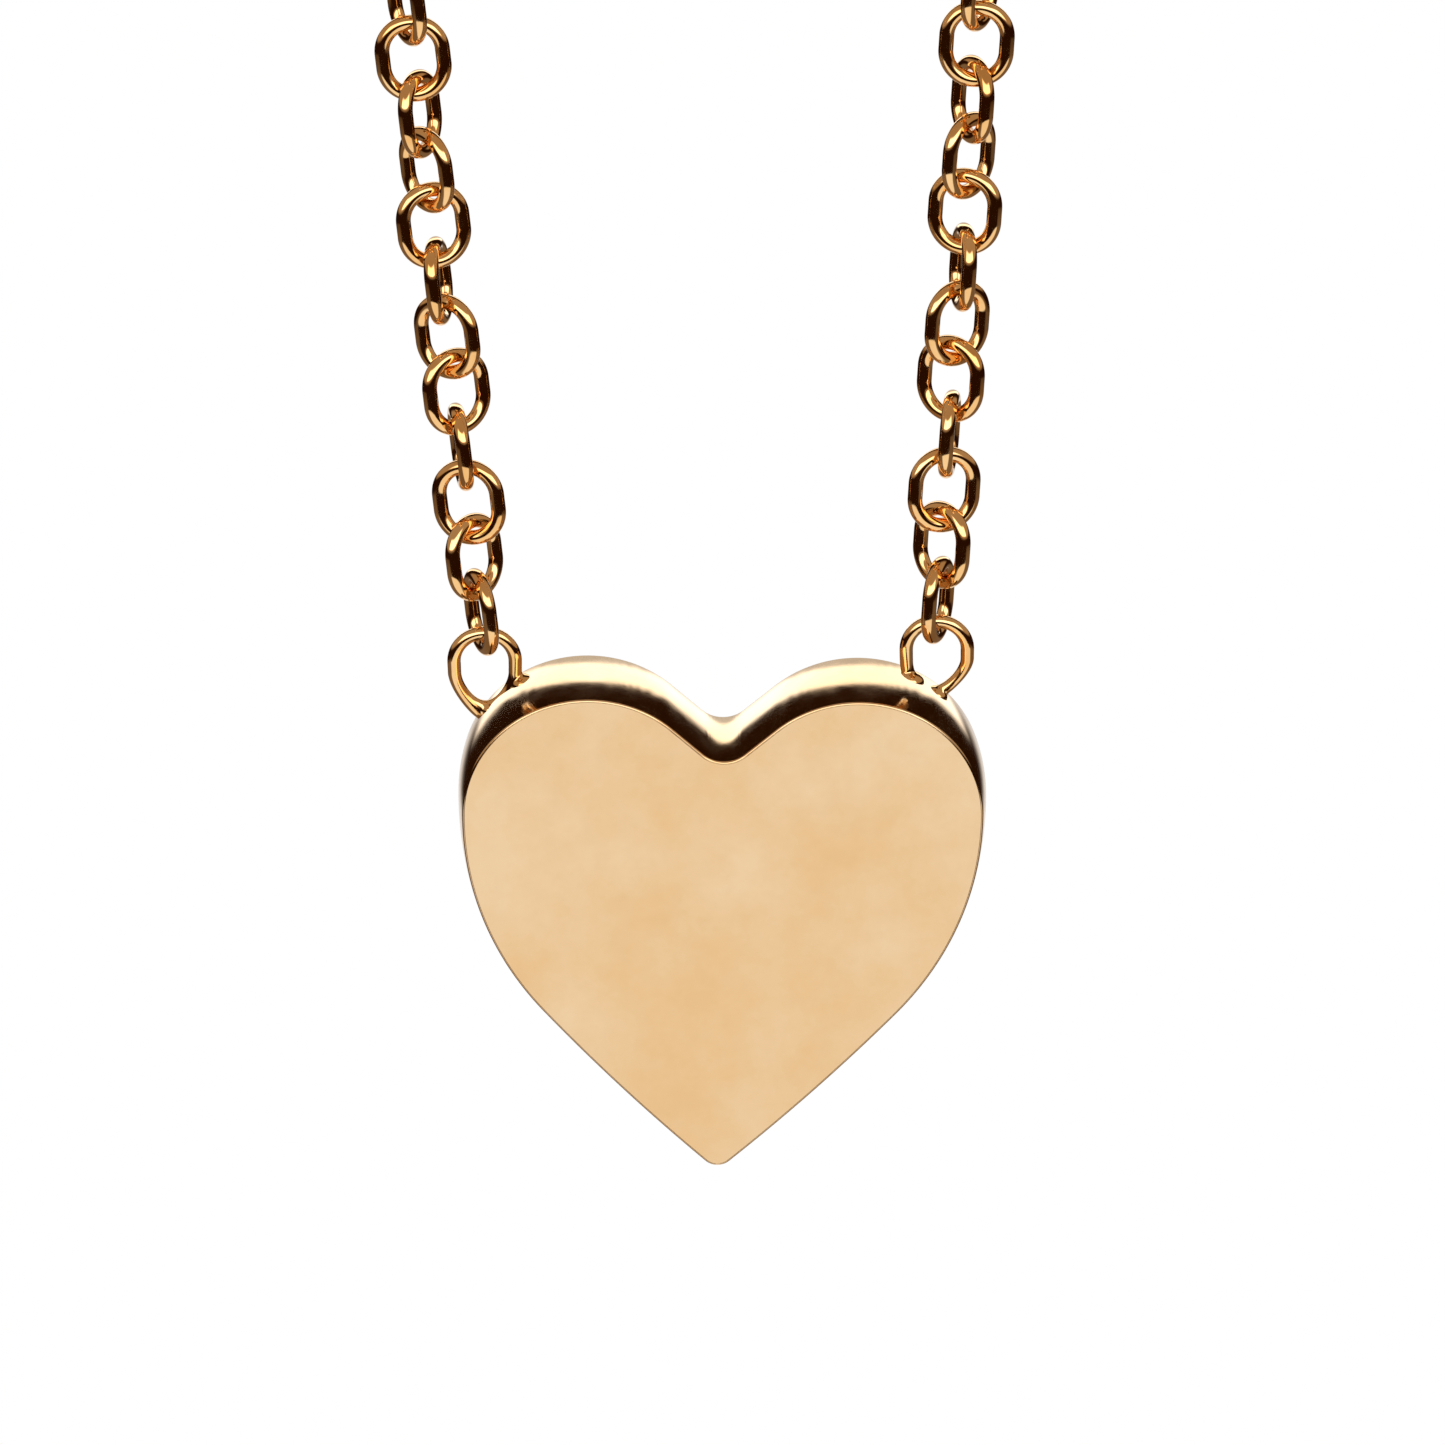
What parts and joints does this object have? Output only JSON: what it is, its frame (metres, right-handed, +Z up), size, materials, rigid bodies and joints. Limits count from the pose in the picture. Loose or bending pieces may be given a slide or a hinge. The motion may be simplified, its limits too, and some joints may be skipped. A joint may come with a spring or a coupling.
{
  "type": "pendant necklace",
  "caption": "Polished heart slab pendant on two soldered rings, hung from a fine oval-link cable chain that closes with a spring ring clasp.",
  "frame": {"origin": "centre of the neck that the chain goes round, on the axis of the round top of the loop", "axes": "+Z up, +X to the right of someone facing the necklace, -Y the front that the heart faces"},
  "size_m": [0.0404, 0.0058, 0.2032],
  "materials": {
    "heart_gold": "polished rose-yellow gold plate, fine polishing marks",
    "chain_gold": "polished yellow gold plate",
    "clasp_gold": "polished yellow gold plate",
    "spring_steel": "drawn spring wire"
  },
  "bodies": {
    "link_pair_01": {"left_link_01": "chain_gold", "right_link_01": "chain_gold"},
    "link_pair_02": {"left_link_02": "chain_gold", "right_link_02": "chain_gold"},
    "link_pair_03": {"left_link_03": "chain_gold", "right_link_03": "chain_gold"},
    "link_pair_04": {"left_link_04": "chain_gold", "right_link_04": "chain_gold"},
    "link_pair_05": {"left_link_05": "chain_gold", "right_link_05": "chain_gold"},
    "link_pair_06": {"left_link_06": "chain_gold", "right_link_06": "chain_gold"},
    "link_pair_07": {"left_link_07": "chain_gold", "right_link_07": "chain_gold"},
    "link_pair_08": {"left_link_08": "chain_gold", "right_link_08": "chain_gold"},
    "link_pair_09": {"left_link_09": "chain_gold", "right_link_09": "chain_gold"},
    "link_pair_10": {"left_link_10": "chain_gold", "right_link_10": "chain_gold"},
    "link_pair_11": {"left_link_11": "chain_gold", "right_link_11": "chain_gold"},
    "span_pair_1": {"left_chain_span_1": "chain_gold", "right_chain_span_1": "chain_gold"},
    "span_pair_2": {"left_chain_span_2": "chain_gold", "right_chain_span_2": "chain_gold"},
    "span_pair_3": {"left_chain_span_3": "chain_gold", "right_chain_span_3": "chain_gold"},
    "span_pair_4": {"left_chain_span_4": "chain_gold", "right_chain_span_4": "chain_gold"},
    "span_pair_5": {"left_chain_span_5": "chain_gold", "right_chain_span_5": "chain_gold"},
    "span_pair_6": {"left_chain_span_6": "chain_gold", "right_chain_span_6": "chain_gold"},
    "neck_chain_and_clasp": {"left_neck_chain": "chain_gold", "right_neck_chain": "chain_gold", "clasp_body": "clasp_gold", "clasp_spring": "spring_steel", "clasp_eye": "clasp_gold", "left_jump_ring": "clasp_gold", "right_end_ring": "clasp_gold"},
    "heart": {"heart_body": "heart_gold", "left_ring": "heart_gold", "right_ring": "heart_gold"},
    "bolt": {"clasp_bolt": "clasp_gold"}
  },
  "joints": [
    {"name": "link_pair_01_swing", "type": "hinge", "parent": "link_pair_02", "child": "link_pair_01", "pos_m": [0, 0, -0.17069], "axis": [1, 0, 0], "range_deg": [-12, 12]},
    {"name": "link_pair_02_swing", "type": "hinge", "parent": "link_pair_03", "child": "link_pair_02", "pos_m": [0, 0, -0.16934], "axis": [-1, 0, 0], "range_deg": [-33, 33]},
    {"name": "link_pair_03_swing", "type": "hinge", "parent": "link_pair_04", "child": "link_pair_03", "pos_m": [0, 0, -0.16793], "axis": [1, 0, 0], "range_deg": [-40, 40]},
    {"name": "link_pair_04_swing", "type": "hinge", "parent": "link_pair_05", "child": "link_pair_04", "pos_m": [0, 0, -0.16731], "axis": [-1, 0, 0], "range_deg": [-15, 15]},
    {"name": "link_pair_05_swing", "type": "hinge", "parent": "link_pair_06", "child": "link_pair_05", "pos_m": [0, 0, -0.16578], "axis": [1, 0, 0], "range_deg": [-21, 21]},
    {"name": "link_pair_06_swing", "type": "hinge", "parent": "link_pair_07", "child": "link_pair_06", "pos_m": [0, 0, -0.16425], "axis": [-1, 0, 0], "range_deg": [-12, 12]},
    {"name": "link_pair_07_swing", "type": "hinge", "parent": "link_pair_08", "child": "link_pair_07", "pos_m": [0, 0, -0.16362], "axis": [1, 0, 0], "range_deg": [-40, 40]},
    {"name": "link_pair_08_swing", "type": "hinge", "parent": "link_pair_09", "child": "link_pair_08", "pos_m": [0, 0, -0.16221], "axis": [-1, 0, 0], "range_deg": [-40, 40]},
    {"name": "link_pair_09_swing", "type": "hinge", "parent": "link_pair_10", "child": "link_pair_09", "pos_m": [0, 0, -0.16097], "axis": [1, 0, 0], "range_deg": [-12, 12]},
    {"name": "link_pair_10_swing", "type": "hinge", "parent": "link_pair_11", "child": "link_pair_10", "pos_m": [0, 0, -0.16014], "axis": [-1, 0, 0], "range_deg": [-40, 40]},
    {"name": "link_pair_11_swing", "type": "hinge", "parent": "span_pair_1", "child": "link_pair_11", "pos_m": [0, 0, -0.15865], "axis": [1, 0, 0], "range_deg": [-40, 40]},
    {"name": "span_pair_1_swing", "type": "hinge", "parent": "span_pair_2", "child": "span_pair_1", "pos_m": [0, 0, -0.13229], "axis": [-1, 0, 0], "range_deg": [-40, 40]},
    {"name": "span_pair_2_swing", "type": "hinge", "parent": "span_pair_3", "child": "span_pair_2", "pos_m": [0, 0, -0.10676], "axis": [1, 0, 0], "range_deg": [-40, 40]},
    {"name": "span_pair_3_swing", "type": "hinge", "parent": "span_pair_4", "child": "span_pair_3", "pos_m": [0, 0, -0.07973], "axis": [-1, 0, 0], "range_deg": [-40, 40]},
    {"name": "span_pair_4_swing", "type": "hinge", "parent": "span_pair_5", "child": "span_pair_4", "pos_m": [0, 0, -0.05337], "axis": [1, 0, 0], "range_deg": [-40, 40]},
    {"name": "span_pair_5_swing", "type": "hinge", "parent": "span_pair_6", "child": "span_pair_5", "pos_m": [0, 0, -0.02784], "axis": [-1, 0, 0], "range_deg": [-40, 40]},
    {"name": "span_pair_6_swing", "type": "hinge", "parent": "neck_chain_and_clasp", "child": "span_pair_6", "pos_m": [0, 0, -0.00081], "axis": [1, 0, 0], "range_deg": [-40, 40]},
    {"name": "heart_swing", "type": "hinge", "parent": "link_pair_01", "child": "heart", "pos_m": [0, 0, -0.17144], "axis": [-1, 0, 0], "range_deg": [-40, 40]},
    {"name": "bolt_slide", "type": "hinge", "parent": "neck_chain_and_clasp", "child": "bolt", "pos_m": [0.00085, 0, 0.01921], "axis": [0, 0, 1], "range_deg": [0, 70], "stiffness_Nm_per_rad": 0.0002, "springref_deg": -28.65, "deforming": ["clasp_spring"]}
  ]
}
